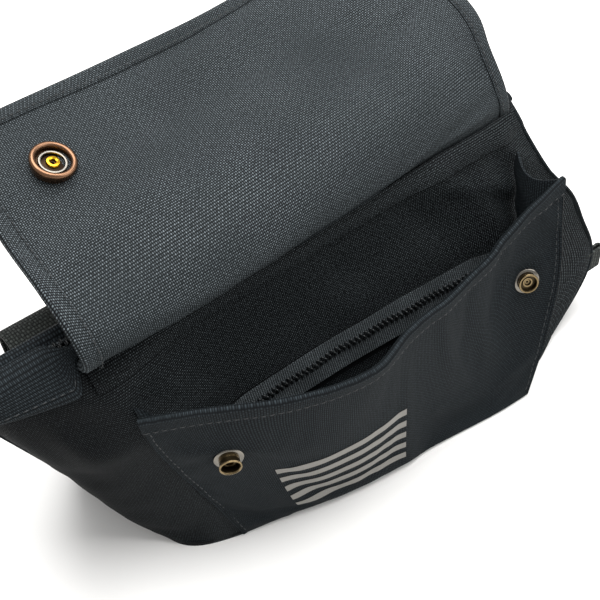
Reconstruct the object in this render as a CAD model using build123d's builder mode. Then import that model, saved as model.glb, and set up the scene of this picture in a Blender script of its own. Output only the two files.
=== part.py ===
from build123d import *
from math import cos, hypot, radians, sin
import os

# Soft tail bag for a motorcycle, in millimetres. X runs along the bag, Y from the front wall to
# the back wall and Z up. The origin is the middle of the flat base, on the ground.

# Main bag
base_width = 208
base_depth = 104
ridge_height = 110
ridge_left = -150
ridge_right = 104
ridge_width = 12
bulge_tip = (130, -40, 24)
fabric = 1.4
stiffener_thickness = 1.5
stiffener_margin = 7

# Front pocket
mouth_width = 198
mouth_height = 93
mouth_y = -38
pocket_bottom_width = 140
pocket_bottom_height = 2
pocket_bottom_gap = 4
pocket_fabric = 1.2
gusset_lean = 3
hem_width = 7
hem_thickness = 0.6

# Flap, in two sections that meet at a fold
flap_width = 210
flap_length = 103
flap_fabric = 0.9
flap_lining_thickness = 0.6
flap_seam_height = 104
seam_offset = 1.6
seam_depth = 9
seam_thickness = 1
flap_rest_angle = 66
panel_rest_angle = 16
panel_corner = 12
fold_gap = 0.8
knee_rise = 6
edge_hem_width = 6
edge_hem_thickness = 0.5

# Press studs and sockets
snap_spacing = 148
socket_inset = 27
snap_gap = 3.9
flange_radius = 5.6
flange_thickness = 0.7
neck_radius = 2.9
head_radius = 4.1
head_thickness = 1.5
stud_height = 3.2
stud_bore = 2
stud_bore_depth = 1.8
rivet_radius = 4.6
rivet_thickness = 0.8
socket_radius = 8.4
socket_opening = 6.2
socket_height = 2.2
socket_round = 0.9
spring_radius = 5.5
spring_thickness = 0.3
post_radius = 1.7
post_bore = 0.8
post_height = 1.2
cap_radius = 9
cap_height = 1.6
cap_round = 1.2

# Zips
coil_width = 4.2
coil_rise = 0.7
coil_margin = 3
tape_gap = 0.2
tape_thickness = 0.7
slider_length = 9
slider_width = 7
slider_corner = 1.5
slider_wall = 0.9
slider_clearance = 0.3
slider_lug = 1.8
slider_lug_length = 1.2
ridge_slider_park = -136
ridge_pull_length = 22
pocket_pull_length = 12
fork_depth = 1.4
pull_width = 5
pull_thickness = 1.2
pocket_zip_slant = 60
pocket_zip_length = 158
pocket_tape_width = 9
pocket_slider_park = -60
lining_width = 158
lining_depth = 50
lining_thickness = 1.6

# Webbing
webbing = 1.8
band_width = 50
band_length = 188
band_slant = 32
loop_width = 25
loop_gap = 12
loop_height = 34
loop_top_slant = 104
loop_round = 6
left_loop_x = -106
right_loop_x = 84
tab_gap = 0.2
left_tab_length = 14
left_tab_width = 20
right_tab_length = 6
right_tab_width = 12

far = 400
half_base = base_width / 2
half_depth = base_depth / 2
half_ridge = ridge_width / 2
half_mouth = mouth_width / 2
half_bottom = pocket_bottom_width / 2
half_snaps = snap_spacing / 2


def plane_through(a, b, c, within=(0, 0, ridge_height / 3)):
    """Plane on three points, whose normal points away from the point within."""
    first, second, third = Vector(*a), Vector(*b), Vector(*c)
    normal = (second - first).cross(third - first)
    if normal.dot(Vector(*within) - first) > 0:
        normal = -normal
    return Plane(origin=first, z_dir=normal)


def panel_plane(origin, z_dir):
    """Plane whose local X runs along the bag and whose local Y runs up the panel."""
    return Plane(origin=origin, x_dir=(1, 0, 0), z_dir=z_dir)


def solid_within(planes):
    """The solid on the inner side of every plane."""
    with BuildPart() as solid:
        Box(2 * far, 2 * far, 2 * far)
        for plane in planes:
            split(bisect_by=plane, keep=Keep.BOTTOM)
    return solid.part


def peel(core, planes, thickness):
    """A layer off the core along the planes, and the core that is left."""
    with BuildPart() as rest:
        add(core)
        for plane in planes:
            split(bisect_by=plane.offset(-thickness), keep=Keep.BOTTOM)
    with BuildPart() as layer:
        add(core)
        add(rest.part, mode=Mode.SUBTRACT)
    return layer, rest.part


def finish(name, piece):
    """Labels a piece with its name and writes it."""
    piece.part.label = name
    export_step(piece.part, f"parts/{name}.step")


os.makedirs("parts", exist_ok=True)

# Main bag: its outer planes, then one layer of fabric for each panel. The right end bulges to a
# tip, and the left end is one slanted panel.
front_left = (-half_base, -half_depth, 0)
front_right = (half_base, -half_depth, 0)
back_left = (-half_base, half_depth, 0)
back_right = (half_base, half_depth, 0)
ridge_front_left = (ridge_left, -half_ridge, ridge_height)
ridge_back_left = (ridge_left, half_ridge, ridge_height)
ridge_front_right = (ridge_right, -half_ridge, ridge_height)
ridge_back_right = (ridge_right, half_ridge, ridge_height)

front_plane = plane_through(front_left, front_right, ridge_front_left)
back_plane = plane_through(back_left, back_right, ridge_back_left)
left_plane = plane_through(front_left, back_left, ridge_front_left)
right_plane = plane_through(front_right, back_right, bulge_tip)
front_bulge_plane = plane_through(front_right, ridge_front_right, bulge_tip)
back_bulge_plane = plane_through(back_right, ridge_back_right, bulge_tip)
end_ridge_plane = plane_through(ridge_front_right, ridge_back_right, bulge_tip)
base_plane = Plane(origin=(0, 0, 0), z_dir=(0, 0, -1))
ridge_plane = Plane(origin=(0, 0, ridge_height), z_dir=(0, 0, 1))

front_faces = [front_plane, front_bulge_plane]
back_faces = [back_plane, back_bulge_plane, end_ridge_plane]
end_faces = [left_plane, right_plane]
bag = solid_within(front_faces + back_faces + end_faces + [base_plane, ridge_plane])

base_panel, core = peel(bag, [base_plane], fabric)
front_wall, core = peel(core, front_faces, fabric)
back_wall, core = peel(core, back_faces, fabric)
left_end_panel, core = peel(core, [left_plane], fabric)
right_end_panel, core = peel(core, [right_plane], fabric)
zip_deck, core = peel(core, [ridge_plane], tape_thickness)

for name, piece in {
    "base_panel": base_panel,
    "front_wall": front_wall,
    "back_wall": back_wall,
    "left_end_panel": left_end_panel,
    "right_end_panel": right_end_panel,
}.items():
    finish(name, piece)

# Stiffening board, lying on the base inside the bag
with BuildPart() as base_stiffener:
    with BuildSketch(Plane.XY.offset(fabric)):
        RectangleRounded(
            base_width - 2 * stiffener_margin, base_depth - 2 * stiffener_margin, stiffener_margin
        )
    extrude(amount=stiffener_thickness)
finish("base_stiffener", base_stiffener)


def zip_tape(side):
    """One tape of the ridge zip: -1 is in front of the coil and +1 is behind it."""
    edge = Plane(origin=(0, side * (coil_width / 2 + tape_gap), 0), z_dir=(0, -side, 0))
    with BuildPart() as tape:
        add(zip_deck.part)
        split(bisect_by=edge, keep=Keep.BOTTOM)
    return tape


def zip_coil(plane, start, end):
    """Closed coil along the plane's X: a low bar, chamfered on top, sunk to the tape's depth."""
    with BuildPart() as coil:
        with BuildSketch(plane.offset(-tape_thickness)):
            with Locations(((start + end) / 2, 0)):
                Rectangle(end - start, coil_width)
        extrude(amount=coil_rise + tape_thickness)
        crest = coil.faces().sort_by(Axis(plane.origin, plane.z_dir))[-1]
        chamfer(crest.edges(), coil_rise / 2)
    return coil


def zip_slider(plane, park):
    """Slider over the coil, with a clear channel and a low lug for its pull."""
    channel = coil_rise + slider_clearance
    with BuildPart() as slider:
        with BuildSketch(plane.offset(slider_clearance)):
            with Locations((park, 0)):
                RectangleRounded(slider_length, slider_width, slider_corner)
        extrude(amount=coil_rise + slider_wall)
        with BuildSketch(plane):
            with Locations((park, 0)):
                Rectangle(2 * slider_length, coil_width + 2 * slider_clearance)
        extrude(amount=channel, mode=Mode.SUBTRACT)
        with BuildSketch(plane.offset(channel + slider_wall)):
            with Locations((park, 0)):
                Rectangle(slider_lug_length, slider_lug)
        extrude(amount=slider_lug)
    return slider


def zip_pull(plane, park, length):
    """Pull that lies along the zip, forked round the slider's lug."""
    fork = slider_lug / 2 + slider_clearance
    with BuildPart() as pull:
        with BuildSketch(plane.offset(coil_rise + slider_wall + 2 * slider_clearance)):
            with Locations((park + length / 2 - slider_clearance, 0)):
                Rectangle(length, pull_width)
            with Locations((park, 0)):
                Rectangle(2 * fork_depth, 2 * fork, mode=Mode.SUBTRACT)
        extrude(amount=pull_thickness)
        far_end = pull.faces().sort_by(Axis(plane.origin, plane.x_dir))[-1]
        fillet(far_end.edges().filter_by(Axis(plane.origin, plane.z_dir)), pull_width / 3)
    return pull


# Main zip along the ridge, closed
finish("ridge_zip_front_tape", zip_tape(-1))
finish("ridge_zip_back_tape", zip_tape(1))
finish("ridge_zip_coil", zip_coil(ridge_plane, ridge_left + coil_margin, ridge_right - coil_margin))
finish("ridge_zip_slider", zip_slider(ridge_plane, ridge_slider_park))
ridge_pull_plane = Plane(origin=ridge_plane.origin, x_dir=(-1, 0, 0), z_dir=ridge_plane.z_dir)
ridge_zip_pull = zip_pull(ridge_pull_plane, -ridge_slider_park, ridge_pull_length)
finish("ridge_zip_pull", ridge_zip_pull)


def end_tab(plane, length, width):
    """Folded webbing tab that stands out of a seam along the plane's X."""
    with BuildPart() as tab:
        with BuildSketch(plane):
            with Locations((tab_gap + length / 2, 0)):
                Rectangle(length, width)
        extrude(amount=webbing, both=True)
    return tab


# Webbing tabs: flat at the zip's left end, and upright at the tip of the right end
zip_end_plane = Plane(
    origin=(ridge_left, 0, ridge_height - webbing), x_dir=(-1, 0, 0), z_dir=(0, 0, 1)
)
finish("left_tab", end_tab(zip_end_plane, left_tab_length, left_tab_width))
tip_plane = Plane(origin=bulge_tip, x_dir=(1, 0, 0), z_dir=(0, -1, 0))
finish("right_tab", end_tab(tip_plane, right_tab_length, right_tab_width))

# Front pocket: a panel that folds under at its bottom, and a gusset at each side
wall_plane = panel_plane((0, -half_depth, 0), front_plane.z_dir)
pocket_bottom_y = -half_depth - pocket_bottom_gap
pocket_front_plane = plane_through(
    (half_bottom, pocket_bottom_y, pocket_bottom_height),
    (-half_bottom, pocket_bottom_y, pocket_bottom_height),
    (half_mouth, mouth_y, mouth_height),
)
pocket_plane = panel_plane((0, pocket_bottom_y, pocket_bottom_height), pocket_front_plane.z_dir)
mouth_wall_y = -half_depth + (half_depth - half_ridge) * mouth_height / ridge_height
gusset_planes = [
    plane_through(
        (side * half_bottom, pocket_bottom_y, pocket_bottom_height),
        (side * half_mouth, mouth_y, mouth_height),
        (side * (half_mouth - gusset_lean), mouth_wall_y, mouth_height),
    )
    for side in (-1, 1)
]
pocket_foot_plane = Plane(origin=(0, 0, pocket_bottom_height), z_dir=(0, 0, -1))
pocket_top_plane = Plane(origin=(0, 0, mouth_height), z_dir=(0, 0, 1))
pocket_back_plane = Plane(origin=wall_plane.origin, z_dir=-wall_plane.z_dir)
pocket = solid_within(
    [pocket_front_plane, pocket_foot_plane, pocket_top_plane, pocket_back_plane] + gusset_planes
)
pocket_front, pocket_core = peel(pocket, [pocket_front_plane, pocket_foot_plane], pocket_fabric)
pocket_left_gusset, pocket_core = peel(pocket_core, [gusset_planes[0]], pocket_fabric)
pocket_right_gusset, pocket_core = peel(pocket_core, [gusset_planes[1]], pocket_fabric)
finish("pocket_front", pocket_front)
finish("pocket_left_gusset", pocket_left_gusset)
finish("pocket_right_gusset", pocket_right_gusset)

# Stitched hem along the pocket's mouth
mouth_slant = hypot(mouth_y - pocket_bottom_y, mouth_height - pocket_bottom_height)
with BuildPart() as pocket_hem:
    with BuildSketch(pocket_plane):
        with Locations((0, mouth_slant - hem_width / 2)):
            Rectangle(mouth_width - 2 * hem_width, hem_width)
    extrude(amount=hem_thickness)
finish("pocket_hem", pocket_hem)

# Inner zip on the front wall, behind the pocket's mouth
zip_plane = panel_plane(wall_plane.from_local_coords((0, pocket_zip_slant, 0)), wall_plane.z_dir)
with BuildPart() as pocket_zip_tapes:
    with BuildSketch(zip_plane):
        Rectangle(pocket_zip_length, coil_width + 2 * tape_gap + 2 * pocket_tape_width)
        Rectangle(pocket_zip_length, coil_width + 2 * tape_gap, mode=Mode.SUBTRACT)
    extrude(amount=tape_thickness)
finish("pocket_zip_tapes", pocket_zip_tapes)
tape_top_plane = zip_plane.offset(tape_thickness)
coil_end = pocket_zip_length / 2 - coil_margin
finish("pocket_zip_coil", zip_coil(tape_top_plane, -coil_end, coil_end))
finish("pocket_zip_slider", zip_slider(tape_top_plane, pocket_slider_park))
pocket_zip_pull = zip_pull(tape_top_plane, pocket_slider_park, pocket_pull_length)
finish("pocket_zip_pull", pocket_zip_pull)

# Flat bag that hangs behind the inner zip, inside the main bag
with BuildPart() as pocket_zip_lining:
    with BuildSketch(wall_plane.offset(-fabric)):
        with Locations((0, pocket_zip_slant - lining_depth / 2)):
            RectangleRounded(lining_width, lining_depth, slider_corner)
    extrude(amount=-lining_thickness)
finish("pocket_zip_lining", pocket_zip_lining)

# Closed pose of the flap: its panel lies parallel to the pocket, snap_gap in front of it.
# The fold is just above the mouth, and the first section is as long as the seam is far from it.
seam_slant = flap_seam_height * hypot(half_depth - half_ridge, ridge_height) / ridge_height
seam = wall_plane.from_local_coords((0, seam_slant, seam_offset))
closed_fold = pocket_plane.from_local_coords(
    (0, mouth_slant + knee_rise, snap_gap + flap_lining_thickness)
)
strip_length = hypot(closed_fold.Y - seam.Y, closed_fold.Z - seam.Z)
panel_length = flap_length - strip_length

# Rest pose of the flap, thrown back
strip_angle = radians(flap_rest_angle)
panel_angle = radians(panel_rest_angle)
fold = (0, seam.Y + strip_length * cos(strip_angle), seam.Z + strip_length * sin(strip_angle))
strip_plane = panel_plane((0, seam.Y, seam.Z), (0, -sin(strip_angle), cos(strip_angle)))
flap_plane = panel_plane(fold, (0, -sin(panel_angle), cos(panel_angle)))
lining_plane = flap_plane.offset(flap_lining_thickness)

# Seam that holds the flap on the front wall
with BuildPart() as flap_seam:
    with BuildSketch(wall_plane):
        with Locations((0, seam_slant - seam_depth / 2 - seam_offset)):
            Rectangle(flap_width, seam_depth)
    extrude(amount=seam_thickness)
finish("flap_seam", flap_seam)

# First section of the flap, from the seam to the fold
with BuildPart() as flap_strip:
    with BuildSketch(strip_plane.offset(-flap_fabric)):
        with Locations((0, strip_length / 2)):
            Rectangle(flap_width, strip_length - 2 * fold_gap)
    extrude(amount=flap_fabric + flap_lining_thickness)
finish("flap_strip", flap_strip)


def flap_outline(inset):
    """Outline of the flap's panel, with its far corners rounded."""
    with BuildSketch(mode=Mode.PRIVATE) as outline:
        with Locations((0, (fold_gap + panel_length - inset) / 2)):
            Rectangle(flap_width - 2 * inset, panel_length - inset - fold_gap)
        fillet(outline.vertices().group_by(Axis.Y)[-1], panel_corner - inset)
    return outline.sketch


# Second section: the outer fabric, its lining, and the stitched hem on the lining
with BuildPart() as flap_panel:
    with BuildSketch(flap_plane.offset(-flap_fabric)):
        add(flap_outline(0))
    extrude(amount=flap_fabric)
finish("flap_panel", flap_panel)
with BuildPart() as flap_lining:
    with BuildSketch(flap_plane):
        add(flap_outline(0))
    extrude(amount=flap_lining_thickness)
finish("flap_lining", flap_lining)
with BuildPart() as flap_hem:
    with BuildSketch(lining_plane):
        add(flap_outline(0))
        add(flap_outline(edge_hem_width), mode=Mode.SUBTRACT)
    extrude(amount=edge_hem_thickness)
finish("flap_hem", flap_hem)

# Press sockets in the flap, and the studs that they land on when the flap is closed
socket_run = panel_length - socket_inset
socket_places = [(-half_snaps, socket_run), (half_snaps, socket_run)]
stud_rise = mouth_slant + knee_rise - socket_run
stud_places = [(-half_snaps, stud_rise), (half_snaps, stud_rise)]


# Rolled ring of each socket
with BuildPart() as snap_sockets:
    with BuildSketch(lining_plane):
        with Locations(*socket_places):
            Circle(socket_radius)
    extrude(amount=socket_height)
    rims = snap_sockets.edges().group_by(Axis(lining_plane.origin, lining_plane.z_dir))[-1]
    fillet(rims, socket_round)
    with BuildSketch(lining_plane):
        with Locations(*socket_places):
            Circle(socket_opening)
    extrude(amount=socket_height, mode=Mode.SUBTRACT)
finish("snap_sockets", snap_sockets)

# Spring plate inside each socket, with the hollow post that ends in the stud's own hollow
with BuildPart() as snap_posts:
    with BuildSketch(lining_plane):
        with Locations(*socket_places):
            Circle(spring_radius)
    extrude(amount=spring_thickness)
    with BuildSketch(lining_plane):
        with Locations(*socket_places):
            Circle(post_radius)
    extrude(amount=post_height)
    with BuildSketch(lining_plane):
        with Locations(*socket_places):
            Circle(post_bore)
    extrude(amount=post_height, mode=Mode.SUBTRACT)
finish("snap_posts", snap_posts)

# Domed caps on the flap's outside
with BuildPart() as snap_caps:
    with BuildSketch(flap_plane.offset(-flap_fabric)):
        with Locations(*socket_places):
            Circle(cap_radius)
    extrude(amount=-cap_height)
    domes = snap_caps.edges().group_by(Axis(flap_plane.origin, flap_plane.z_dir))[0]
    fillet(domes, cap_round)
finish("snap_caps", snap_caps)

# Studs on the pocket: flange, neck and hollow head
with BuildPart() as snap_studs:
    with BuildSketch(pocket_plane):
        with Locations(*stud_places):
            Circle(flange_radius)
    extrude(amount=flange_thickness)
    with BuildSketch(pocket_plane):
        with Locations(*stud_places):
            Circle(neck_radius)
    extrude(amount=stud_height)
    with BuildSketch(pocket_plane.offset(stud_height - head_thickness)):
        with Locations(*stud_places):
            Circle(head_radius)
    extrude(amount=head_thickness)
    heads = snap_studs.edges().filter_by(GeomType.CIRCLE)
    head_rims = heads.group_by(Axis(pocket_plane.origin, pocket_plane.z_dir))[-1]
    fillet(head_rims, head_thickness / 3)
    with BuildSketch(pocket_plane.offset(stud_height)):
        with Locations(*stud_places):
            Circle(stud_bore)
    extrude(amount=-stud_bore_depth, mode=Mode.SUBTRACT)
finish("snap_studs", snap_studs)

# Backs of the studs, inside the pocket
with BuildPart() as snap_rivets:
    with BuildSketch(pocket_plane.offset(-pocket_fabric)):
        with Locations(*stud_places):
            Circle(rivet_radius)
    extrude(amount=-rivet_thickness)
finish("snap_rivets", snap_rivets)

# Webbing on the back wall: a band across it, and a closed loop for a strap at each end
back_wall_plane = Plane(
    origin=(0, half_depth, 0), x_dir=(-1, 0, 0), z_dir=back_plane.z_dir
)
with BuildPart() as mounting_band:
    with BuildSketch(back_wall_plane):
        with Locations((0, band_slant)):
            Rectangle(band_length, band_width)
    extrude(amount=webbing)
finish("mounting_band", mounting_band)


def strap_loop(middle):
    """Ring of webbing, sewn flat on the back wall, that is open along X."""
    start = back_wall_plane.origin + Vector(middle - loop_width / 2, 0, 0)
    loop_depth = loop_gap + 2 * webbing
    with BuildPart() as loop:
        with BuildSketch(Plane(origin=start, x_dir=back_plane.z_dir, z_dir=(1, 0, 0))):
            with Locations((loop_depth / 2, loop_top_slant - loop_height / 2)):
                RectangleRounded(loop_depth, loop_height, loop_round)
                RectangleRounded(
                    loop_gap, loop_height - 2 * webbing, loop_round - webbing, mode=Mode.SUBTRACT
                )
        extrude(amount=loop_width)
    return loop


finish("left_strap_loop", strap_loop(left_loop_x))
finish("right_strap_loop", strap_loop(right_loop_x))
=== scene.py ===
import math

import bmesh
import bpy
import numpy as np
from mathutils import Matrix, Vector


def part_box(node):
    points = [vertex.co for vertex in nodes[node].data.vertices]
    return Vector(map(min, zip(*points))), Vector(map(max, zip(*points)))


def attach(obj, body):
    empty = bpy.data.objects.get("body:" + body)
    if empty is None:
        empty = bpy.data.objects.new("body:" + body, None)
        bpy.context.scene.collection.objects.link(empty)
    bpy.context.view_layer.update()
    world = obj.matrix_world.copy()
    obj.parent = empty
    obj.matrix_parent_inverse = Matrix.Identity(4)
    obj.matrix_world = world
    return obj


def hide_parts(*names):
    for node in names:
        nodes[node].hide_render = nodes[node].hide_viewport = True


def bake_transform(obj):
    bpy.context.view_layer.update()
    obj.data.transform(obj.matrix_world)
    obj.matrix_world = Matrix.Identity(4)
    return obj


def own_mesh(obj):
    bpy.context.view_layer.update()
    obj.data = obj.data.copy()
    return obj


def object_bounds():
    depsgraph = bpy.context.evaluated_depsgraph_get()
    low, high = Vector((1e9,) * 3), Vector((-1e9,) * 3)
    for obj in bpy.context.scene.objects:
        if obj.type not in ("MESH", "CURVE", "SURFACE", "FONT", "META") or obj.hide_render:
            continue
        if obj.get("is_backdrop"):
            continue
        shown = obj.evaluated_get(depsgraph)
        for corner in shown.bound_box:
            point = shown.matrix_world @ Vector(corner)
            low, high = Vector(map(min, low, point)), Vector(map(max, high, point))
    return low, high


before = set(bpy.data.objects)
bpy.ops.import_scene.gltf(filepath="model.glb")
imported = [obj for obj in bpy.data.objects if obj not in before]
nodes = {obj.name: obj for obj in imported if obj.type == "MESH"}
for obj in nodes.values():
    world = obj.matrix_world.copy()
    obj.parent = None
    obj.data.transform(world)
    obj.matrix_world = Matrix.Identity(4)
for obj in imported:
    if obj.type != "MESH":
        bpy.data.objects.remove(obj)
cadLow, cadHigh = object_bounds()
mm = 0.001
grids = {}
print("frame loaded")


def deselectAll():
    bpy.ops.object.select_all(action="DESELECT")


# materials
def linear(hexColour):
    # sRGB hex to the linear colour that shaders take
    parts = [int(hexColour[i:i + 2], 16) / 255 for i in (0, 2, 4)]
    out = [p / 12.92 if p <= 0.04045 else ((p + 0.055) / 1.055) ** 2.4 for p in parts]
    return (*out, 1.0)


def addNode(tree, kind, settings=None, links=None):
    made = tree.nodes.new(kind)
    for key, value in (settings or {}).items():
        if isinstance(key, int) or key in made.inputs:
            made.inputs[key].default_value = value
        else:
            setattr(made, key, value)
    for key, source in (links or {}).items():
        tree.links.new(source, made.inputs[key])
    return made


def maths(tree, operation, *values, **settings):
    # a value that is a node's output is linked, a plain number is set
    numbers = {i: v for i, v in enumerate(values) if isinstance(v, (int, float))}
    wires = {i: v for i, v in enumerate(values) if i not in numbers}
    return addNode(tree, "ShaderNodeMath", {"operation": operation, **settings, **numbers}, wires).outputs[0]


def startMaterial(name):
    material = bpy.data.materials.new(name)
    material.use_nodes = True
    tree = material.node_tree
    return material, tree, tree.nodes["Principled BSDF"]


def wovenMaterial(name, look):
    # plain weave: every crossing is a small dome, the warp domes a little lighter than the weft ones
    material, tree, skin = startMaterial(name)
    place = addNode(tree, "ShaderNodeUVMap", {"uv_map": "UVMap"})
    turns = math.pi / (look["pitch"] * mm)
    wander = addNode(tree, "ShaderNodeTexNoise", {"Scale": 260.0, "Detail": 2.0},
                     {"Vector": place.outputs[0]})
    wobble = addNode(tree, "ShaderNodeMapRange",
                     {"To Min": -look["wobble"] * mm,
                      "To Max": look["wobble"] * mm}, {"Value": wander.outputs[0]})
    split = addNode(tree, "ShaderNodeSeparateXYZ", {}, {"Vector": place.outputs[0]})
    waves = []
    for axis, bundle in ((0, look["bundleU"]), (1, look["bundleV"])):
        moved = maths(tree, "ADD", split.outputs[axis], wobble.outputs[0])
        angle = maths(tree, "MULTIPLY", moved, turns / bundle)
        waves.append(maths(tree, "SINE", angle))
    cross = maths(tree, "MULTIPLY", *waves)
    size = maths(tree, "ABSOLUTE", cross)
    dome = maths(tree, "POWER", size, look["sharp"])
    side = maths(tree, "SIGN", cross)
    part = addNode(tree, "ShaderNodeMapRange", {"From Min": -1.0, "From Max": 1.0, "To Min": look["weft"],
                                                "To Max": 1.0}, {"Value": side})
    crown = maths(tree, "MULTIPLY", dome, part.outputs[0])
    if "leftEndShade" in look:
        # painted shade: the thread crowns are darkened towards the bag's left end, where the wing turns away
        # from the light
        body = addNode(tree, "ShaderNodeTexCoord")
        bodyX = addNode(tree, "ShaderNodeSeparateXYZ", {}, {"Vector": body.outputs["Object"]})
        leftEndShadeRamp = addNode(tree, "ShaderNodeMapRange",
                       {"From Min": -0.115, "From Max": -0.075, "To Min": look["leftEndShade"],
                        "To Max": 1.0}, {"Value": bodyX.outputs[0]})
        crown = maths(tree, "MULTIPLY", crown, leftEndShadeRamp.outputs[0])
    # uneven yarn: some threads take more dye than others, and the cloth is greyer where it is rubbed
    yarn = addNode(tree, "ShaderNodeTexNoise", {"Scale": 900.0, "Detail": 1.0},
                   {"Vector": place.outputs[0]})
    uneven = addNode(tree, "ShaderNodeMapRange",
                     {"From Min": 0.3, "From Max": 0.7, "To Min": 1.0 - look["uneven"],
                      "To Max": 1.0 + look["uneven"]}, {"Value": yarn.outputs[0]})
    dyed = maths(tree, "MULTIPLY", crown, uneven.outputs[0], use_clamp=True)
    base = addNode(tree, "ShaderNodeMix", {"data_type": "RGBA"}, {"Factor": dyed})
    base.inputs[6].default_value = linear(look["gap"])
    base.inputs[7].default_value = linear(look["crown"])
    spot = addNode(tree, "ShaderNodeTexCoord")
    broad = addNode(tree, "ShaderNodeTexNoise", {"Scale": 22.0, "Detail": 3.0},
                    {"Vector": spot.outputs["Object"]})
    fade = addNode(tree, "ShaderNodeMapRange", {"From Min": 0.35, "From Max": 0.75, "To Min": 0.0,
                                                "To Max": look["dust"]}, {"Value": broad.outputs[0]})
    worn = addNode(tree, "ShaderNodeMix", {"data_type": "RGBA"},
                   {"Factor": fade.outputs[0], 6: base.outputs[2]})
    worn.inputs[7].default_value = linear(look["rubbed"])
    tree.links.new(worn.outputs[2], skin.inputs["Base Color"])
    threadBump = addNode(tree, "ShaderNodeBump",
                         {"Strength": look["relief"],
                          "Distance": look["pitch"] * mm * 0.35}, {"Height": dome})
    tree.links.new(threadBump.outputs[0], skin.inputs["Normal"])
    skin.inputs["Roughness"].default_value = look["roughness"]
    skin.inputs["Specular IOR Level"].default_value = look["shine"]
    skin.inputs["Sheen Weight"].default_value = look["sheen"]
    skin.inputs["Sheen Roughness"].default_value = 0.5
    return material


def metalMaterial(name, look):
    # plated metal: darker in the hollows; bright at convex edges, partly rubbed wear and partly a painted
    # highlight on the rims
    material, tree, skin = startMaterial(name)
    spot = addNode(tree, "ShaderNodeTexCoord")
    grime = addNode(tree, "ShaderNodeTexNoise", {"Scale": look["grain"], "Detail": 4.0, "Roughness": 0.6},
                    {"Vector": spot.outputs["Object"]})
    edge = addNode(tree, "ShaderNodeNewGeometry")
    # convex edges brightened: rubbed wear, and a painted highlight on the rims
    edgeWearAndHighlight = addNode(tree, "ShaderNodeMapRange", {"From Min": 0.48, "From Max": 0.58},
                  {"Value": edge.outputs["Pointiness"]})
    both = maths(tree, "MULTIPLY_ADD", grime.outputs[0], 0.55, edgeWearAndHighlight.outputs[0], use_clamp=True)
    tint = addNode(tree, "ShaderNodeMix", {"data_type": "RGBA"}, {"Factor": both})
    tint.inputs[6].default_value = linear(look["dark"])
    tint.inputs[7].default_value = linear(look["bright"])
    tree.links.new(tint.outputs[2], skin.inputs["Base Color"])
    dull = addNode(tree, "ShaderNodeMapRange", {"To Min": look["rough"] + 0.12,
                                                "To Max": look["rough"] - 0.08}, {"Value": both})
    tree.links.new(dull.outputs[0], skin.inputs["Roughness"])
    lumps = addNode(tree, "ShaderNodeBump", {"Strength": 0.15, "Distance": 0.0001},
                    {"Height": grime.outputs[0]})
    tree.links.new(lumps.outputs[0], skin.inputs["Normal"])
    skin.inputs["Metallic"].default_value = 1.0
    return material


def plasticMaterial(name, look):
    # nylon or thread: a soft dull shine with a faint mottled grain
    material, tree, skin = startMaterial(name)
    spot = addNode(tree, "ShaderNodeTexCoord")
    grain = addNode(tree, "ShaderNodeTexNoise", {"Scale": look["grain"], "Detail": 3.0},
                    {"Vector": spot.outputs["Object"]})
    tint = addNode(tree, "ShaderNodeMix", {"data_type": "RGBA"}, {"Factor": grain.outputs[0]})
    tint.inputs[6].default_value = linear(look["dark"])
    tint.inputs[7].default_value = linear(look["light"])
    tree.links.new(tint.outputs[2], skin.inputs["Base Color"])
    lumps = addNode(tree, "ShaderNodeBump", {"Strength": 0.2, "Distance": 0.00005},
                    {"Height": grain.outputs[0]})
    tree.links.new(lumps.outputs[0], skin.inputs["Normal"])
    skin.inputs["Roughness"].default_value = look["rough"]
    return material


# pitch is the spacing of the threads in mm; gap, crown and rubbed are the colours between and on them
clothLook = {"pitch": 0.75, "bundleU": 1.0, "bundleV": 1.0, "sharp": 1.3, "weft": 0.55, "wobble": 0.12,
             "uneven": 0.35, "gap": "050709", "crown": "343b3f", "rubbed": "2c3031", "dust": 0.08,
             "relief": 0.6, "roughness": 0.72, "shine": 0.08, "sheen": 0.0}
# black polyester with a coated face: near black with a faint regular weave
shellCloth = wovenMaterial("coated_polyester_600D", clothLook)
# the flap's lining side, uncoated: grey threads with dark gaps and rubbed patches
flapCloth = wovenMaterial("polyester_600D_uncoated_face",
                          {**clothLook, "pitch": 0.78, "gap": "080b0c", "crown": "7f888d", "sharp": 2.4,
                           "weft": 0.5, "uneven": 0.5, "shine": 0.10, "dust": 0.5, "rubbed": "1d2224"})
# the front panel, scuffed: speckled pale crossings on black, dimmed by painted shade towards the left end
wallCloth = wovenMaterial("polyester_600D_rubbed_dark",
                          {**clothLook, "gap": "020304", "crown": "565d60", "sharp": 2.6, "weft": 0.5,
                           "uneven": 0.6, "dust": 0.0, "leftEndShade": 0.3})
# thin lining cloth: flat and dark, with a finer weave
innerCloth = wovenMaterial("polyester_taffeta",
                           {**clothLook, "pitch": 0.6, "gap": "0a0c0d", "crown": "1f2325", "relief": 0.3})
# strap webbing: coarse raised ribs with a soft grey-green cast
webbingCloth = wovenMaterial("basket_weave_webbing",
                             {**clothLook, "pitch": 1.15, "bundleU": 1.0, "bundleV": 1.5, "gap": "090a0a",
                              "crown": "454946", "relief": 0.9, "sharp": 0.6, "wobble": 0.05})
# zip tape: narrow stretched cells that read as fine ribs
tapeCloth = wovenMaterial("herringbone_zip_tape",
                          {**clothLook, "pitch": 0.5, "bundleU": 2.0, "bundleV": 0.8, "gap": "0a0c0d",
                           "crown": "7a8286", "wobble": 0.03})
# sewing thread: small dull dark dashes
threadNylon = plasticMaterial("bonded_nylon_thread",
                              {"dark": "0f1112", "light": "2c3032", "grain": 900.0, "rough": 0.5})
# zip coil: dark loops with a soft shine
coilNylon = plasticMaterial("nylon_coil", {"dark": "0d0f10", "light": "24282a", "grain": 500.0,
                                           "rough": 0.38})
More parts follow.
